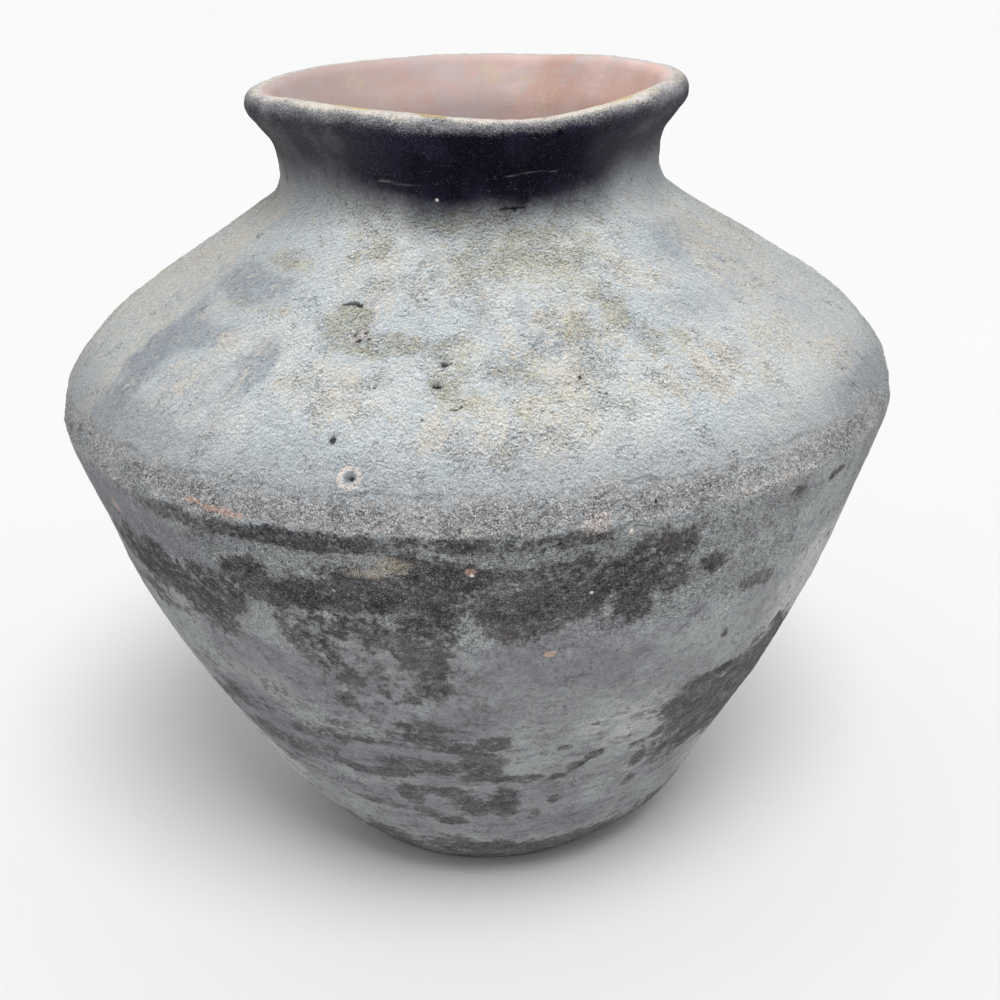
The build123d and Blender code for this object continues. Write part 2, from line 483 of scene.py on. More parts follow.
def soot_skin(lower):
    """How sooty each place on the lower wall is: over a half is dark."""
    foot = smooth(113, 97, way + wander_along) * 0.95
    held = np.maximum.reduce([patches(SOOT), foot, far_stain(-0.1, 0.9, 1.1, 58, 22, 0.55)])
    near_edge = smooth(0.02, 0.4, held)
    low_down = smooth(215, 190, way) * smooth(30, 5, np.abs(degrees + 8))
    frayed = held + tatter * (0.12 + 0.26 * near_edge) + streaks * 0.45 * low_down * near_edge
    frayed += patches(NET) * (0.28 + 0.3 * veins)
    return np.clip(frayed, 0, 2) * lower


def neck_middle():
    """1 on the front of the neck, where the smoke is thickest, falling to 0 at its sides."""
    middle = smooth(60, 14, np.abs(from_front(4)) + clouds(30, 27, 1) * 8)
    return np.maximum(middle, 0.6 * behind * smooth(-0.5, 0.5, clouds(60, 32, 2)))


def neck_smoke_and_shadow(middle):
    """How thick the smoke is as it climbs the neck, darkest under the lip with painted shadow. Two
    faint seams run through it.
    """
    on_left = smooth(-22, -40, degrees) * smooth(-110, -85, degrees)
    thick = np.maximum(middle, 0.35 * on_left)
    low = NECK_WAY - 15 - 5 * thick
    high = NECK_WAY + 20 - 17 * thick
    climb = way + clouds(26, 28, 2) * 2.2
    seams = slit(-16, 447, 17, 0.6, 0.35, 0.006, 0) + slit(17, 451.5, 14, 0.7, 0.62, -0.008, 0)
    return np.clip((climb - low) / (high - low), 0, 1.3) + seams


def grain_strength(lower, inside):
    """How gritty each place is to the touch, 1 for plain smooth clay."""
    facing = np.maximum(smooth(62, 25, aside), 0.6 * behind)
    upper = 1.3 + 1.1 * facing
    under_ridge = 1 + 3.2 * smooth(236, 268, way) * np.maximum(facing, 0.3)
    along_ridge = 3.4 * band(RIDGE_WAY - 4, LEDGE_WAY, 5, way)
    outside = np.maximum(upper * (1 - lower) + under_ridge * lower, along_ridge)
    on_neck = smooth(NECK_WAY - 4, NECK_WAY + 6, way)
    on_lip = smooth(CREST_WAY - 24, CREST_WAY - 12, way)
    outside = outside * (1 - on_neck) + (0.9 + 1.2 * on_lip) * on_neck
    return outside * (1 - inside) + 0.3 * inside


def painted_pit_shade():
    """Painted shade: 1 at the bottom of each pit and crack, falling to 0 at its edge."""
    deep = np.zeros(len(points))
    for at, up, size, depth, _, stretch in PITS:
        dark = min(1.0, depth) * smooth(1.05, 0.4, pit_distance(at, up, size, stretch))
        deep = np.maximum(deep, dark)
    for at, up, half_length, width, depth, bend, lean in SLITS:
        across, line = crack_distance(at, up, bend, lean)
        fade = smooth(1, 0.6, np.abs(across) / half_length)
        deep = np.maximum(deep, 0.9 * smooth(1.8, 0.4, np.abs(line) / width) * fade)
    return deep


def chalk_and_ridge_highlights():
    """The chalky ring round the crater, and the other chalky places, among them painted highlights
    along the ridge's edge.
    """
    from_crater = np.hypot(*surface_distance(*CRATER)) + tatter * 0.5
    return np.maximum(1.5 * bell(from_crater - 3.3, 0.9), patches(CHALK_AND_RIDGE_HIGHLIGHTS))


def worn_crest(far_lip):
    """1 along the lip's crest, where it is rubbed bare, narrower where the lip turns away."""
    beyond = way - CREST_WAY
    climbed = smooth(CREST_WAY - 9, CREST_WAY - 2, way + clouds(14, 30, 2) * 1.4)
    return climbed * smooth(8 - 6 * far_lip, 2 - 4 * far_lip, beyond) * (1 - 0.25 * far_lip)


def painted_ledge_shadow_line():
    """A thin painted shadow line under the ledge on the front."""
    return smooth(64, 48, aside) * bell(way + ledge_wave - LEDGE_WAY - 0.6, 1)


def ridge_band():
    """1 on the gritty band along the ridge, less at the sides."""
    thinner = 1 - 0.5 * smooth(52, 70, aside) * smooth(-0.5, 0.2, clouds(40, 39, 2))
    from_below = smooth(RIDGE_WAY - 1.5, RIDGE_WAY + 1, way + clouds(8, 31, 3) * 1.5)
    return thinner * from_below * smooth(LEDGE_WAY + 9, LEDGE_WAY - 6, way + clouds(14, 37, 3) * 2.5)


def side_shade():
    """Positive on the shaded left of the inside and negative on its bright right."""
    return bell(from_front(-122), 48) - 2 * bell(from_front(103), 22)


def stains_and_painted_light():
    """Every stain and every place of painted light and shade on the surface, as a value for each
    point that its material reads.
    """
    lower = smooth(RIDGE_WAY + 1.5, RIDGE_WAY - 1.5, way + clouds(9, 21, 3) * 1.6)
    far_lip = smooth(40, 75, aside)
    inside = smooth(-2 * far_lip, 5 - 4 * far_lip, way - CREST_WAY)
    outside = 1 - inside
    shoulder = (1 - lower) * smooth(NECK_WAY + 12, NECK_WAY - 6, way) * outside
    sand, slate, cream_and_light = patches(SAND), patches(SLATE), patches(CREAM_AND_PAINTED_LIGHT)
    film = band(-104, -61.5, 0.8, degrees + clouds(30, 33, 2) * 0.6) * smooth(306, 318, way)
    far_cream = np.maximum(far_stain(0.1, 0.8, 0.8, 48, 26), film * 0.55)
    middle = neck_middle()
    return {
        "lower": lower,
        "soot": soot_skin(lower),
        "dull": patches(DULL) + far_stain(-0.3, 0.6, 0.5, 50, 34),
        "inside": inside,
        "sand": np.maximum(sand, far_stain(-0.1, 0.8, 0.8, 42, 24)) * shoulder,
        "slate": np.maximum(slate, far_stain(0, 0.8, 0.8, 55, 25)) * shoulder,
        "cream_and_light": np.maximum(cream_and_light, far_cream) * (1 - lower) * outside,
        "pit_and_crack_shade": painted_pit_shade(),
        "chalk_and_highlight": chalk_and_ridge_highlights(),
        "smoke_and_lip_shadow": neck_smoke_and_shadow(middle) * outside,
        "middle": middle,
        "lip": 1.6 * smooth(CREST_WAY - 18, CREST_WAY - 3, way + clouds(14, 36, 2) * 1.5) - 0.6,
        "worn": worn_crest(far_lip),
        "painted_ledge_shadow": painted_ledge_shadow_line(),
        "ochre_and_highlight": patches(OCHRE_AND_CREST_HIGHLIGHTS),
        "shade": side_shade(),
        "pale": patches(PALE_TONE_AND_PAINTED_SIDE_LIGHT),
        "level": smooth(218, 188, way),
        "low_shoulder": smooth(348, LEDGE_WAY - 4, way),
        # where the outside faces the front: read for the shoulder's painted light
        "facing": smooth(68, 28, aside),
        "crust": np.maximum(sand, cream_and_light) - slate,
        "grain": grain_strength(lower, inside),
        "raw": patches(RAW) * outside,
        "beige": patches(BEIGE) * outside,
        "grit": ridge_band(),
        "runs": runs(7, 60, 35) * 0.5 + 0.5,
    }


# ---- Relief: how far each point stands out from the turned form, in millimetres ----
def pit(at, up, size, depth, raised, stretch):
    """A hole with a raised rim."""
    distance = pit_distance(at, up, size, stretch)
    return raised * bell(distance - 1.25, 0.28) - depth * smooth(1.0, 0.35, distance)


def slit(at, up, half_length, width, depth, bend, lean):
    """A short curved crack that runs round the pot."""
    across, line = crack_distance(at, up, bend, lean)
    fade = smooth(half_length, half_length * 0.6, np.abs(across))
    return -depth * bell(line, width) * fade


CRATER = (-15.2, 320.5)         # degrees round and mm along of the largest blown grain
# Pits: degrees round, mm along, half size, depth, height of the raised rim, stretch
PITS = [
    (*CRATER, 2.7, 0.35, 1.3, 0.85), (*CRATER, 2, 2.8, 0, 0.75), (-20.2, 378.6, 1.5, 1.9, 0.3, 1),
    (-18.4, 379.6, 1.3, 1.7, 0.3, 1), (-19.2, 376, 1.5, 2, 0.3, 1),
    (-17.6, 376.8, 1.2, 1.5, 0.2, 1), (-5.6, 356.6, 2.6, 2.4, 0.6, 0.6),
    (-4.7, 366.2, 2.2, 1.5, 0.4, 0.5), (-18.4, 334, 1.7, 2.2, 0.2, 1.5),
    (-14.5, 355.6, 0.8, 1, 0, 1), (14.6, 357, 0.9, 1.3, 0.1, 1.4), (8.3, 361, 0.8, 0.9, 0.1, 1),
    (-7.2, 342.8, 1.1, 1, 0.2, 0.7), (20, 306.5, 1.2, 1.5, 0.2, 1.3), (59, 329, 1.6, 1.5, 0.2, 1),
    (72, 421, 1.8, 1.6, 0, 0.8), (-29, 473.5, 1.3, 1.4, 0.3, 1), (22, 471.5, 1.5, 1.6, 0.3, 1.3),
    (12, 436, 1, 1, 0.1, 1), (-26, 449, 1, 0.9, 0.3, 1), (33, 355, 0.8, 0.9, 0.1, 1.2),
    (4, 341, 0.7, 0.8, 0.1, 1), (150, 352, 1.4, 1.6, 0.4, 1), (-140, 382, 1.1, 1.4, 0.3, 1.3),
    (100, 336, 1, 1.2, 0.2, 1), (-105, 331, 1.6, 1.6, 0.5, 0.8),
]
# Short cracks: degrees round, mm along, half length, width, depth, bend, lean
SLITS = [
    (-23, 392.8, 5, 0.8, 1.8, -0.05, 0), (-21.6, 391.6, 2.4, 0.5, 0.9, 0, -0.4),
    (-3, 346.5, 3.5, 0.45, 0.8, 0.05, 0.3), (-4.4, 366, 2.6, 0.5, 0.9, 0, 0.2),
    (14, 352.5, 3, 0.4, 0.7, -0.06, 0.5), (17, 349, 2.6, 0.4, 0.7, 0.08, -0.3),
    (9, 344, 3.4, 0.4, 0.7, 0.05, -0.2), (11.5, 436.5, 7, 0.5, 0.9, -0.02, 0),
    (130, 398, 5, 0.5, 1.1, 0.04, 0.1), (-120, 345, 4, 0.5, 1, -0.05, 0.2),
]
# Broad swells and hollows left by the hand: degrees round, mm along, half sizes, mm out
SWELLS = [
    (82, 408, 26, 22, -2.4),
    (-84, 404, 24, 18, -0.8),
    (74, 212, 22, 34, -1.6),
    (-60, 95, 26, 24, -2.4),
    (62, 92, 22, 16, 1.4),
    (-70, 225, 18, 26, 0.9),
    (96, 462, 30, 16, -0.8),
]


def leaning():
    """The swells and hollows that put the turned form out of true."""
    total = np.zeros(len(points))
    for at, up, half_round, half_up, out in SWELLS:
        away = (from_front(at) / half_round) ** 2 + ((way - up) / half_up) ** 2
        total += out * np.exp(-away)
    return total


# How the lip's crest rises and dips: degrees round, half width, mm up
RIM_WAVES = [
    (14, 27, -2.9),
    (-45, 26, 1.9),
    (165, 40, -0.9),
]
RIM_DROP = -1.2


def rim_wave():
    """How far each point near the mouth is raised, in mm, because the lip isn't quite level."""
    rise = np.full(len(points), RIM_DROP)
    for at, half_width, up in RIM_WAVES:
        rise += up * bell(from_front(at), half_width)
    return rise * smooth(288, 324, height)


def relief():
    """The whole surface's relief, inside and out."""
    hand = clouds(95, 41, 2) * 0.8 + clouds(34, 42, 2) * 0.28
    wiping = clouds(9, 43, 2, (8, 8, 1)) * 0.14 + runs(11, 50, 49, 2) * 0.1
    inside = smooth(CREST_WAY, CREST_WAY + 4, way)
    sandy = (clouds(4.5, 44, 2) * 0.16 + clouds(2.3, 45, 1) * 0.10) * (1 - 0.85 * inside)
    along_ridge = band(RIDGE_WAY - 1, RIDGE_WAY + 12, 2.5, way)
    gritty = (clouds(5.5, 46, 3) * 0.4 + np.abs(clouds(3.0, 47, 2)) * 0.45) * along_ridge
    stepped = 0.4 + 0.5 * smooth(10, 30, aside)
    ledge = -stepped * band(RIDGE_WAY, LEDGE_WAY, 0.6, way + ledge_wave)
    scabby = np.maximum(patch(8, 350, 24, 30, 1.0), 0.6 * behind)
    scabby = scabby * band(LEDGE_WAY + 4, NECK_WAY, 8, way)
    flakes = smooth(0.05, 0.35, clouds(6.5, 48, 4)) * 0.45 * scabby
    total = hand + wiping + sandy + gritty + ledge + flakes + leaning()
    for row in PITS:
        total += pit(*row)
    for row in SLITS:
        total += slit(*row)
    on_foot = 0.15 + 0.85 * smooth(64, 76, way)         # the foot stands flat on its table
    return total * on_foot


# ---- The pieces: one closed ring of clay for each course ----
UV_SECTORS = 4                  # each piece's strip is cut into this many, one above the other
UV_MARGIN = 0.01
UV_SHARE = {"outside": 1.0, "inside": 0.4, "face": 0.12}


def surface_hops(first_place, last_place):
    """Neighbouring rings along the section between two places."""
    first, last = ring_of[first_place], ring_of[last_place]
    return [(i, i + 1) for i in range(first, last)]


def piece_hops(number):
    """Each pair of rings that a piece's skin joins, with the kind of skin, round its section."""
    hops = []
    below, above = number - 1, number
    low_out = places[0] if number == 0 else outside_joints[below]
    low_in = places[-1] if number == 0 else inside_joints[below]
    if number == 0:
        hops.append((TIP, 0, "outside"))
    if number == len(NODES) - 1:
        hops += [(a, b, "outside") for a, b in surface_hops(low_out, CREST)]
        hops += [(a, b, "inside") for a, b in surface_hops(CREST, low_in)]
    else:
        high_out, high_in = outside_joints[above], inside_joints[above]
        hops += [(a, b, "outside") for a, b in surface_hops(low_out, high_out)]
        hops.append((ring_of[high_out], ring_of[high_in], "face"))
        hops += [(a, b, "inside") for a, b in surface_hops(high_in, low_in)]
    if number == 0:
        hops.append((len(places) - 1, TIP, "inside"))
    else:
        hops.append((ring_of[low_in], ring_of[low_out], "face"))
    return hops


def vertex_of(ring, column):
    """The surface's vertex at each ring and column. The two middle points come last."""
    counts = np.array(ring_columns)
    on_ring = ring_starts[ring] + column % counts[ring]
    return np.where(ring == TIP, len(points), on_ring)


def surface_normals(spots):
    """Each vertex's normal, from the faces round it on the whole pot."""
    total = np.zeros((len(points), 3))
    for i in range(len(places) - 1):
        for block in stitch(i, i + 1):
            corners = [vertex_of(ring, column) for ring, column in block]
            ends = [spots[c] for c in corners]
            far = ends[3] if len(ends) == 4 else ends[0]
            facing = np.cross(ends[2] - ends[0], far - ends[1])
            for c in corners:
                for axis in range(3):
                    total[:, axis] += np.bincount(c, facing[:, axis], len(total))
    return unit(total)


def hop_length(first, second):
    """Millimetres along the section from one ring to the next."""
    if TIP in (first, second):
        return MIDDLE_GAP * DENSE_STEP
    return float(np.linalg.norm(section[places[second]] - section[places[first]]))


def face_normals(first, second, share):
    """The normals of a luted face's corners, given each corner's share of a turn."""
    along = section[places[second]] - section[places[first]]
    across = -left_of(unit(along)[None])[0]
    angle = share * 2 * math.pi
    return np.stack([across[0] * np.cos(angle), across[0] * np.sin(angle), across[1] + 0 * angle], -1)


def unwrapped(share, high_up):
    """Where each corner lies on the piece's square, whose strip is cut into sectors set in rows."""
    sector = np.floor(UV_SECTORS * share.min(axis=1, keepdims=True) + 1e-6)
    sector = np.minimum(sector, UV_SECTORS - 1)
    inner = 1 - 2 * UV_MARGIN
    u = UV_MARGIN + (share * UV_SECTORS - sector) * inner
    v = (sector + UV_MARGIN + high_up * inner) / UV_SECTORS
    return np.stack([u, v], -1)


def hop_faces(hop, low, high, facing):
    """The vertices, face sizes, normals and unwrapping of the skin between two rings."""
    first, second, kind = hop
    vertices, sizes, normals, uvs = [], [], [], []
    for block in stitch(first, second):
        ring, column = block.transpose(1, 2, 0)
        counts = np.array(ring_columns)[np.where(ring == TIP, max(first, second), ring)]
        share = column / counts
        vertex = vertex_of(ring, column)
        if kind == "face":
            normal = face_normals(first, second, share)
        else:
            at_tip = [0, 0, -1.0 if first == TIP else 1.0]
            normal = np.vstack([facing, at_tip])[vertex]
        if second == TIP:
            vertex = np.where(ring == TIP, len(points) + 1, vertex)
        vertices.append(vertex.ravel())
        sizes.append(np.full(len(vertex), vertex.shape[1]))
        normals.append(normal.reshape(-1, 3))
        uvs.append(unwrapped(share, np.where(ring == second, high, low)).reshape(-1, 2))
    return vertices, sizes, normals, uvs


def piece_faces(number, facing):
    """Every face of a piece, round its whole section."""
    hops = piece_hops(number)
    lengths = [hop_length(a, b) * UV_SHARE[kind] for a, b, kind in hops]
    marks = np.r_[0, np.cumsum(lengths)] / sum(lengths)
    parts = [[], [], [], []]
    for hop, low, high in zip(hops, marks, marks[1:]):
        for part, more in zip(parts, hop_faces(hop, low, high, facing)):
            part += more
    return [np.concatenate(part) for part in parts]


def make_piece(name, number, spots, facing, fields, material):
    """Builds a course's mesh, with its own normals, unwrapping and values for its stains and painted
    light and shade.
    """
    vertices, sizes, normals, uvs = piece_faces(number, facing)
    used, corner_vertex = np.unique(vertices, return_inverse=True)
    every_spot = np.vstack([spots, [0, 0, 0], [0, 0, FLOOR]])
    mesh = bpy.data.meshes.new(name)
    mesh.vertices.add(len(used))
    mesh.vertices.foreach_set("co", (every_spot[used] * MM).astype(np.float32).ravel())
    mesh.loops.add(len(corner_vertex))
    mesh.loops.foreach_set("vertex_index", corner_vertex.astype(np.int32).ravel())
    mesh.polygons.add(len(sizes))
    mesh.polygons.foreach_set("loop_start", np.r_[0, np.cumsum(sizes)[:-1]].astype(np.int32))
    mesh.update(calc_edges=True)
    layer = mesh.uv_layers.new(name="OFBake")
    layer.data.foreach_set("uv", uvs.astype(np.float32).ravel())
    for field, values in fields.items():
        values = np.r_[values, values[0], values[-1]]
        data = mesh.attributes.new(field, "FLOAT", "POINT").data
        data.foreach_set("value", values[used].astype(np.float32))
    mesh.shade_smooth()
    mesh.normals_split_custom_set(normals.tolist())
    mesh.materials.append(material)
    piece = bpy.data.objects.new(name, mesh)
    bpy.context.scene.collection.objects.link(piece)
    return piece


# ---- Materials ----
def srgb(r, g, b):
    """A colour as the eye names it, 0 to 255, in the renderer's linear light."""
    values = np.array((r, g, b)) / 255
    linear = np.where(values <= 0.04045, values / 12.92, ((values + 0.055) / 1.055) ** 2.4)
    return (*linear.tolist(), 1.0)


# The colour sockets of a Mix node, which share their names with its number sockets
MIX_COLOUR_A, MIX_COLOUR_B, MIX_COLOUR_RESULT = 6, 7, 2


class Shader:
    """Builds one material's nodes. A value may be a number, a colour or a socket."""

    def __init__(self, name):
        self.material = bpy.data.materials.new(name)
        self.material.use_nodes = True
        self.tree = self.material.node_tree
        self.place = self.node("TexCoord").outputs["Object"]

    def node(self, kind):
        return self.tree.nodes.new("ShaderNode" + kind)

    def surface(self, **values):
        """Gives the material, once its surface has these values."""
        inputs = self.tree.nodes["Principled BSDF"].inputs
        for name, value in values.items():
            self.plug(value, inputs[name.replace("_", " ")])
        return self.material

    def plug(self, value, socket):
        if isinstance(value, bpy.types.NodeSocket):
            self.tree.links.new(value, socket)
        else:
            socket.default_value = value

    def calc(self, operation, *values):
        node = self.node("Math")
        node.operation = operation
        for value, socket in zip(values, node.inputs):
            self.plug(value, socket)
        return node.outputs[0]

    def times(self, first, second):
        return self.calc("MULTIPLY", first, second)

    def less(self, first, second):
        return self.calc("SUBTRACT", first, second)

    def total(self, *values):
        result = values[0]
        for value in values[1:]:
            result = self.calc("ADD", result, value)
        return result

    def scaled(self, value, by):
        """A noise's swing about its middle of 0.5, made as large as asked."""
        return self.times(self.less(value, 0.5), by)

    def step(self, value, low, high):
        node = self.node("MapRange")
        node.interpolation_type = "SMOOTHSTEP"
        self.plug(value, node.inputs["Value"])
        node.inputs["From Min"].default_value = low
        node.inputs["From Max"].default_value = high
        return node.outputs["Result"]

    def mix(self, share, first, second):
        node = self.node("Mix")
        node.data_type = "RGBA"
        self.plug(share, node.inputs["Factor"])
        self.plug(first, node.inputs[MIX_COLOUR_A])
        self.plug(second, node.inputs[MIX_COLOUR_B])
        return node.outputs[MIX_COLOUR_RESULT]

    def mottled(self, noise, low, high, first, second):
        """Two colours in patches: the first where a noise is low and the second where it is high."""
        return self.mix(self.step(noise, low, high), srgb(*first), srgb(*second))

    def tinted(self, colour, by):
        """A colour made lighter or darker."""
        node = self.node("VectorMath")
        node.operation = "SCALE"
        self.plug(colour, node.inputs["Vector"])
        self.plug(by, node.inputs["Scale"])
        return node.outputs["Vector"]

    def field(self, name):
        node = self.node("Attribute")
        node.attribute_name = name
        return node.outputs["Fac"]

    def noise(self, size, detail=2.0, rough=0.5, warp=0.0, flat=1.0, shift=0.0):
        """Noise with lumps about size mm across. Flat squeezes it in height into level streaks."""
        per_metre = 1 / MM / size
        spread = self.node("Mapping")
        spread.inputs["Scale"].default_value = (per_metre, per_metre, per_metre * flat)
        if isinstance(shift, (int, float)):
            shift = (shift, shift, shift)
        spread.inputs["Location"].default_value = shift
        self.tree.links.new(self.place, spread.inputs["Vector"])
        node = self.node("TexNoise")
        self.tree.links.new(spread.outputs[0], node.inputs["Vector"])
        node.inputs["Scale"].default_value = 1.0
        node.inputs["Detail"].default_value = detail
        node.inputs["Roughness"].default_value = rough
        node.inputs["Distortion"].default_value = warp
        return node.outputs["Fac"]

    def slope(self, size, detail, rough, reach, shift):
        """How steeply a noise's lumps fall upwards and towards the back, about -0.5 to 0.5, to paint
        light and shade on the crumbs.
        """
        there = (shift, shift + reach, shift + reach)
        here = self.noise(size, detail, rough, warp=0.7, shift=shift)
        there = self.noise(size, detail, rough, warp=0.7, shift=there)
        return self.less(here, there)

    def bump(self, height, depth, strength=1.0, under=None):
        """Height 0 to 1 raised by a depth in mm, or sunk by it if it is negative."""
        node = self.node("Bump")
        node.invert = depth < 0
        node.inputs["Distance"].default_value = abs(depth) * MM
        self.plug(strength, node.inputs["Strength"])
        self.tree.links.new(height, node.inputs["Height"])
        if under is not None:
            self.tree.links.new(under, node.inputs["Normal"])
        return node.outputs["Normal"]


class ClayShader(Shader):
    """A shader with three grains of noise, from coarse to fine, that fray the edges of its stains."""

    def __init__(self, name):
        super().__init__(name)
        self.lump = self.noise(9, 5, 0.62)
        self.grit = self.noise(2.4, 4, 0.62, shift=29)
        self.dust = self.noise(0.5, 2, 0.8, shift=31)

    def frayed(self, value, lump=0, grit=0, dust=0, more=()):
        """A value, or the field of that name, broken up by each grain of noise as much as asked."""
        if isinstance(value, str):
            value = self.field(value)
        swings = ((self.lump, lump), (self.grit, grit), (self.dust, dust))
        return self.total(value, *[self.scaled(noise, by) for noise, by in swings if by], *more)

    def coated(self, colour, coat, value, low, high, strength=1, **frays):
        """A colour with another laid over it where a frayed value climbs from low to high."""
        share = self.step(self.frayed(value, **frays), low, high)
        if strength < 1:
            share = self.times(share, strength)
        return self.mix(share, colour, srgb(*coat))


def charcoal(s):
    """Dark skin, browner and more even low on the wall, worn thin in small places."""
    colour = s.mottled(s.noise(24, 4, shift=7), 0.42, 0.6, (72, 71, 74), (92, 89, 89))
    low_down = s.mottled(s.lump, 0.4, 0.6, (82, 80, 84), (96, 94, 96))
    colour = s.mix(s.field("level"), colour, low_down)
    thin = s.noise(4.5, 4, 0.65, flat=1.3, shift=9)
    return s.coated(colour, (134, 133, 134), thin, 0.46, 0.74, 0.75, dust=0.8)


def lower_wall(s):
    """Dull grey skin, smudged, paler at the sides with painted light, with frayed charcoal where the
    soot still holds.
    """
    skin = s.mottled(s.noise(34, 4, 0.6, shift=3), 0.38, 0.62, (146, 148, 150), (164, 167, 168))
    # painted light: paler grey, mostly at the lower wall's sides
    skin = s.coated(skin, (190, 191, 190), "pale", 0.1, 1.0, lump=1.4, grit=0.6)
    skin = s.coated(skin, (128, 129, 133), "dull", 0.1, 0.9, lump=1.4, grit=0.8)
    streaks_low = s.noise(13, 5, 0.65, flat=4.0, shift=71)
    level = [s.times(s.scaled(streaks_low, 1.6), s.field("level"))]
    skin = s.coated(skin, (108, 108, 112), "soot", 0.0, 0.65, 0.5, lump=1.4, grit=1.2, more=level)
    smudge = s.noise(6, 5, 0.65, flat=1.5, shift=5)
    skin = s.coated(skin, (110, 111, 116), smudge, 0.48, 0.72, 0.45, grit=0.8, more=level)
    soot = s.step(s.frayed("soot", lump=2.3, grit=2.8, dust=1.4, more=level), 0.28, 0.80)
    return s.mix(soot, skin, charcoal(s)), soot


def shoulder(s):
    """Pale ash-blue skin with khaki sand, slate smears and a cream film that is partly painted light,
    darker grey towards the ridge, and painted light where it faces the front.
    """
    skin = s.mottled(s.noise(45, 4, shift=11), 0.38, 0.62, (197, 204, 208), (212, 216, 215))
    fine = s.frayed(s.scaled(s.lump, 2.2), grit=2.2, dust=0.8)
    runny = s.scaled(s.field("runs"), 0.9)
    less_runny = s.times(runny, 0.4)
    skin = s.coated(skin, (160, 167, 174), "slate", 0.0, 1.2, lump=1.4, more=[less_runny])
    # cream film, partly painted light on the shoulder's right and the ridge's edge
    skin = s.coated(skin, (216, 211, 202), "cream_and_light", 0.0, 1.25, more=[fine, runny])
    skin = s.coated(skin, (194, 189, 166), "sand", 0.1, 1.4, 0.7, more=[fine])
    skin = s.coated(skin, (152, 156, 161), "low_shoulder", 0.0, 1.2, 0.7, lump=0.8)
    # painted light: the shoulder is lighter where it faces the front
    return s.tinted(skin, s.total(0.80, s.times(s.field("facing"), 0.185)))


def ridge_grit(s):
    """Bare gritty clay along the ridge: dark grains with pale ones between."""
    dark = s.mottled(s.noise(20, 4, 0.6, shift=43), 0.36, 0.64, (110, 110, 114), (152, 151, 152))
    pale = s.noise(2.2, 4, 0.7, flat=1.4, shift=13)
    return s.coated(dark, (190, 189, 187), pale, 0.36, 0.7, dust=0.8)


def inside_clay(s):
    """The inside's dusty pink clay, greyed in places by smoke, with ochre smudges, painted shade on
    its left and painted light on its right.
    """
    shade = s.field("shade")
    pink = s.mottled(s.noise(36, 4, shift=17), 0.38, 0.62, (212, 177, 167), (226, 201, 194))
    # painted shade: the inside's left is greyer pink
    pink = s.mix(shade, pink, srgb(202, 184, 180))
    pink = s.coated(pink, (202, 197, 199), s.noise(46, 4, shift=19), 0.5, 0.64, 0.6, lump=0.6)
    wiped = s.noise(16, 4, 0.6, flat=6.0, shift=73)
    pink = s.coated(pink, (206, 173, 161), wiped, 0.4, 0.65, 0.35)
    pink = s.coated(pink, (223, 204, 174), "ochre_and_highlight", 0.2, 1.4, 0.5, lump=2.6, grit=2.4)
    # painted shade on the inside's left and painted light on its right
    return s.tinted(pink, s.less(1.0, s.times(shade, 0.1)))


def smoked_neck_and_lip_shadow(s):
    """Blue-black smoke with painted shadow under the lip, thinning at the sides and rubbed to grey on
    the lip.
    """
    side = s.mottled(s.noise(18, 4, shift=47), 0.4, 0.62, (66, 65, 73), (88, 86, 90))
    front = s.mottled(s.noise(22, 3, shift=79), 0.4, 0.62, (12, 11, 28), (33, 31, 50))
    smoke_and_lip_shadow = s.mix(s.step(s.frayed("middle", grit=0.5), 0.0, 1.0), side, front)
    return s.coated(smoke_and_lip_shadow, (156, 155, 158), "lip", 0.0, 1.2, grit=0.25, dust=1.2)


def worn_lip(s):
    """The lip's crest rubbed to cream, with ochre smudges and painted yellow highlights."""
    crest = s.mottled(s.noise(16, 4, shift=53), 0.42, 0.62, (243, 236, 222), (236, 229, 227))
    # ochre smudges and painted yellow highlights on the crest
    crest = s.coated(crest, (226, 206, 152), "ochre_and_highlight", 0.1, 0.8, 0.9, grit=2.0)
    return s.tinted(crest, s.total(1.0, s.scaled(s.dust, 1.3), s.scaled(s.grit, 0.5)))


def crack_and_flake_shade(s):
    """Hair cracks, then the painted shade in the same cracks with dark specks among them, which are
    painted shade under small flakes.
    """
    where = s.step(s.noise(10, 2, shift=59), 0.58, 0.66)
    off_line = s.calc("ABSOLUTE", s.less(s.noise(8, 3, 0.5, flat=1.6, shift=61), 0.5))
    crease = s.times(s.step(off_line, 0.012, 0.002), where)
    flake_shadow = s.times(s.step(s.noise(1.7, 2, 0.5, shift=67), 0.68, 0.74), where)
    return crease, s.calc("MAXIMUM", s.times(crease, 0.3), s.times(flake_shadow, 0.5))


def marks(s, colour):
    """Bare spots and chalky dust, painted highlights on the ridge's edge, and painted shade in pits,
    hair cracks and under the ledge, laid over a colour.
    """
    colour = s.coated(colour, (176, 168, 154), "beige", 0.15, 1.1, 0.75, grit=2.0)
    colour = s.coated(colour, (202, 172, 158), "raw", 0.35, 1.1, 0.7, grit=2.2, dust=1.0)
    # chalky dust, with painted highlights along the ridge's edge
    colour = s.coated(colour, (232, 222, 217), "chalk_and_highlight", 0.25, 0.9, 0.9, grit=1.0, dust=0.6)
    crease, painted_crack_shade = crack_and_flake_shade(s)
    # painted shade in the hair cracks and under small flakes
    colour = s.mix(painted_crack_shade, colour, srgb(84, 82, 82))
    broken = [s.scaled(s.noise(14, 3, shift=83), 2.4)]
    # painted shadow: a thin dark line under the ledge
    colour = s.coated(colour, (112, 112, 118), "painted_ledge_shadow", 0.5, 1.2, 0.4, more=broken)
    # painted shade in the pits and cracks
    return s.coated(colour, (56, 52, 50), "pit_and_crack_shade", 0.35, 0.8, 0.9, grit=1.2, dust=0.6), crease


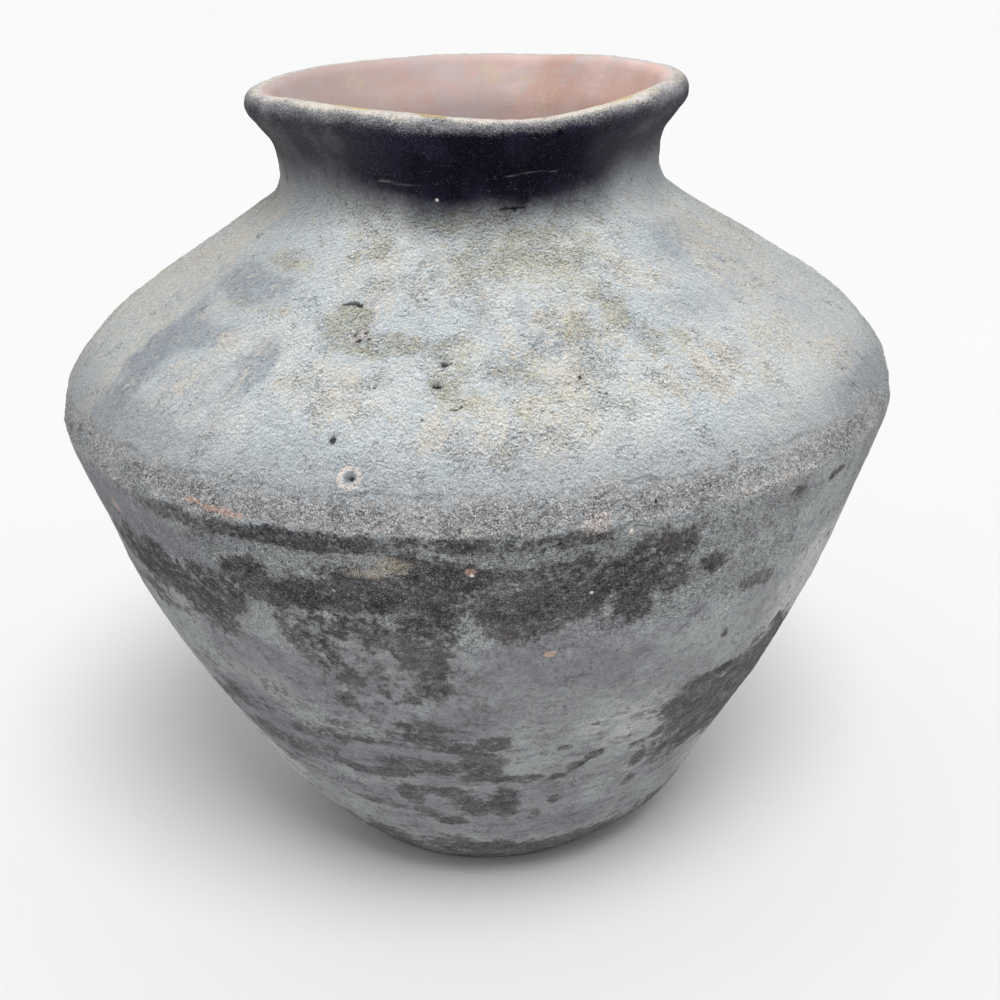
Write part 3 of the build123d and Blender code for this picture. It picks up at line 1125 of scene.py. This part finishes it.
def grain_tone_and_painted_crumb_light(s, strength):
    """How light each grain of the surface is: its own tone, made lighter where the grain is strong to
    make up for the shading of its bumps, with painted light on each crumb's top and painted shade
    below it.
    """
    small, large = s.slope(1.1, 2, 0.6, 0.35, 93), s.slope(3.0, 3, 0.6, 0.18, 97)
    # painted light on each crumb's top and painted shade below it
    painted_crumb_light = s.times(s.calc("ADD", small, s.times(large, 0.4)), strength)
    fine = s.times(s.scaled(s.dust, 1.3), strength)
    rough = (s.scaled(s.grit, 0.45), s.scaled(s.lump, 0.3))
    return s.calc("MAXIMUM", s.total(0.80, s.times(strength, 0.215), painted_crumb_light, fine, *rough), 0.25)


def grain_relief(s, strength, inside, crease):
    """The bump of the clay's wrinkles, its finest grain and its hair cracks."""
    strength = s.times(strength, 0.42)
    wrinkle = s.calc("ABSOLUTE", s.scaled(s.noise(2.4, 3, 0.55, warp=0.6, shift=37), 2.0))
    coarse = s.bump(wrinkle, 0.9, strength)
    fine = s.bump(s.noise(0.75, 2, 0.75, shift=41), 2.0, strength, coarse)
    return s.bump(crease, -0.5, s.less(1.0, s.times(inside, 0.8)), fine)


def clay(name):
    """The pot's one fired clay, with its colour, roughness and grain read from the values for stains
    and painted light and shade.
    """
    s = ClayShader(name)
    low, soot = lower_wall(s)
    colour = s.mix(s.step(s.frayed("lower", grit=1.6), 0.3, 0.7), shoulder(s), low)
    gritty = s.step(s.frayed("grit", lump=2.2, grit=2.2), 0.2, 1.2)
    colour = s.mix(gritty, colour, ridge_grit(s))
    colour, crease = marks(s, colour)
    # smoke, with painted shadow under the lip
    smoke_and_lip_shadow = s.step(s.frayed("smoke_and_lip_shadow", lump=0.3, grit=0.2, dust=0.45), 0.0, 1.0)
    colour = s.mix(smoke_and_lip_shadow, colour, smoked_neck_and_lip_shadow(s))
    crusty = s.total(s.scaled(s.noise(12, 4, 0.6, shift=91), 3.0), s.times(s.field("crust"), 0.6))
    crusty = s.total(0.65, s.times(s.step(crusty, -0.1, 0.8), 0.6))
    strength = s.times(s.field("grain"), crusty)
    colour = s.tinted(colour, grain_tone_and_painted_crumb_light(s, strength))
    inside = s.field("inside")
    colour = s.mix(inside, colour, inside_clay(s))
    worn = s.step(s.frayed("worn", grit=0.4, dust=1.3), 0.1, 1.0)
    return s.surface(
        Base_Color=s.mix(worn, colour, worn_lip(s)),
        Roughness=s.frayed(0.80, grit=0.25, more=[s.times(soot, 0.08)]),
        Specular_IOR_Level=0.08,
        Normal=grain_relief(s, strength, inside, crease),
    )


def lime():
    """Chalky white lime, a little stained by the clay round it."""
    s = Shader("white_lime")
    stain = s.step(s.noise(2.0, 3, 0.6), 0.4, 0.7)
    return s.surface(
        Base_Color=s.mix(stain, srgb(214, 209, 196), srgb(178, 168, 150)),
        Roughness=s.total(0.8, s.scaled(stain, 0.2)),
        Normal=s.bump(s.noise(0.8, 3, 0.6), 0.3),
    )


# ---- Lime grains: small angular lumps where the CAD has balls ----
APART = 0.006                   # metres: grains lie further apart than this
RIDGE_BOTTOM = JOINT_HEIGHTS[5]
SINK, CRATER_SINK = 0.1, 1.7    # shares of a grain's size that it is sunk by
FACETS = 9
FACET_DEPTHS = (0.62, 0.9)      # shares of a grain's size from its middle to its flat faces
FLATTENING = 0.9
PITTING = 0.05                  # share of a grain's size
PITS_PER_METRE = 2500


def grain_balls():
    """Each grain's centre and radius in metres, from its ball in the CAD."""
    left = [v.co.copy() for v in bpy.data.objects["lime_grains"].data.vertices]
    balls = []
    while left:
        near = [p for p in left if (p - left[0]).length < APART]
        left = [p for p in left if (p - near[0]).length >= APART]
        low = Vector([min(p[i] for p in near) for i in range(3)])
        high = Vector([max(p[i] for p in near) for i in range(3)])
        balls.append(((low + high) / 2, (high - low).length / 2 / math.sqrt(3)))
    return balls


def sink_of(centre):
    """How deep a grain sits, as a share of its size: the one left in the blown pit lies lowest."""
    at = math.degrees(math.atan2(centre.y, centre.x) - FRONT)
    in_pit = abs(at - CRATER[0]) < 2 and centre.z / MM > RIDGE_BOTTOM
    return CRATER_SINK if in_pit else SINK


def make_grains(material):
    """Every lime grain as a lump with a few flat faces, in one piece."""
    form = bmesh.new()
    for number, (centre, size) in enumerate(grain_balls()):
        chance = np.random.default_rng(60 + number)
        made = bmesh.ops.create_icosphere(form, subdivisions=4, radius=size)
        facets = unit(chance.normal(size=(FACETS, 3)))
        cuts = [(Vector(facet), chance.uniform(*FACET_DEPTHS) * size) for facet in facets]
        sunk = centre - Vector((centre.x, centre.y, 0)).normalized() * size * sink_of(centre)
        for vertex in made["verts"]:
            for facing, reach in cuts:
                over = vertex.co.dot(facing) - reach
                if over > 0:
                    vertex.co -= facing * over * FLATTENING
            place = vertex.co * PITS_PER_METRE + Vector((number, 0, 0))
            vertex.co *= 1 + PITTING * mathutils_noise.noise(place)
            vertex.co += sunk
    mesh = bpy.data.meshes.new("lime_lumps")
    form.to_mesh(mesh)
    form.free()
    mesh.shade_smooth()
    mesh.materials.append(material)
    piece = bpy.data.objects.new("lime_lumps", mesh)
    bpy.context.scene.collection.objects.link(piece)
    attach(piece, BODY_NAME)
    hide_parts("lime_grains")


# ---- Making the pot ----
def make_pot():
    """Every course of the pot, each in place of its CAD node."""
    spots = points + normal0 * relief()[:, None]
    spots[:, 2] += rim_wave()
    facing = surface_normals(spots)
    fields = stains_and_painted_light()
    body_clay = clay("smoked_clay")
    rim_clay = clay("worn_rim_clay")
    for number, node in enumerate(NODES):
        is_rim = node == "rim_coil"
        material = rim_clay if is_rim else body_clay
        piece = make_piece(node + "_clay", number, spots, facing, fields, material)
        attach(piece, BODY_NAME)
        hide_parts(node)


make_pot()
make_grains(lime())


# ---- Floor, light and camera ----
SUN_SIDE = Vector((0.12, -0.5, 1.0))    # where the light comes from
CAMERA_DIP = 20.85              # degrees below level
CAMERA_ROLL = -2.106            # degrees


def make_floor():
    """A plain pale floor, wide enough to fill the view behind the pot."""
    bpy.ops.mesh.primitive_plane_add(size=12)
    floor = bpy.context.object
    floor.name = "studio_floor"
    s = Shader("pale_floor")
    grey = s.mix(s.noise(400, 2), srgb(243, 243, 243), srgb(240, 240, 240))
    floor.data.materials.append(s.surface(Base_Color=grey, Roughness=0.9))


def make_light():
    """An even white sky, and a wide soft sun from above and a little in front."""
    world = bpy.data.worlds.new("soft_studio")
    world.use_nodes = True
    sky = world.node_tree.nodes["Background"].inputs
    sky["Color"].default_value = (1.0, 1.0, 1.0, 1.0)
    sky["Strength"].default_value = 0.56
    bpy.context.scene.world = world
    sun = bpy.data.lights.new("overhead_softbox", "SUN")
    sun.energy = 1.9
    sun.angle = math.radians(30)
    lamp = bpy.data.objects.new("overhead_softbox", sun)
    lamp.rotation_mode = "QUATERNION"
    lamp.rotation_quaternion = SUN_SIDE.to_track_quat("Z", "Y")
    bpy.context.scene.collection.objects.link(lamp)


def make_camera():
    """The camera that sees the pot as in its picture: it looks down at it from close by."""
    camera = bpy.data.cameras.new("camera")
    camera.sensor_width = 36.0
    camera.lens = 57.6
    camera.shift_x = 0.0206
    camera.shift_y = -0.0542
    thing = bpy.data.objects.new("camera", camera)
    thing.location = (0.0, -0.6651, 0.4234)
    level = Quaternion((1, 0, 0), math.radians(90 - CAMERA_DIP))
    roll = Quaternion((0, 0, 1), math.radians(CAMERA_ROLL))
    thing.rotation_mode = "QUATERNION"
    thing.rotation_quaternion = level @ roll
    bpy.context.scene.collection.objects.link(thing)
    bpy.context.scene.camera = thing


make_floor()
make_light()
make_camera()
bpy.context.scene.view_settings.view_transform = "Standard"
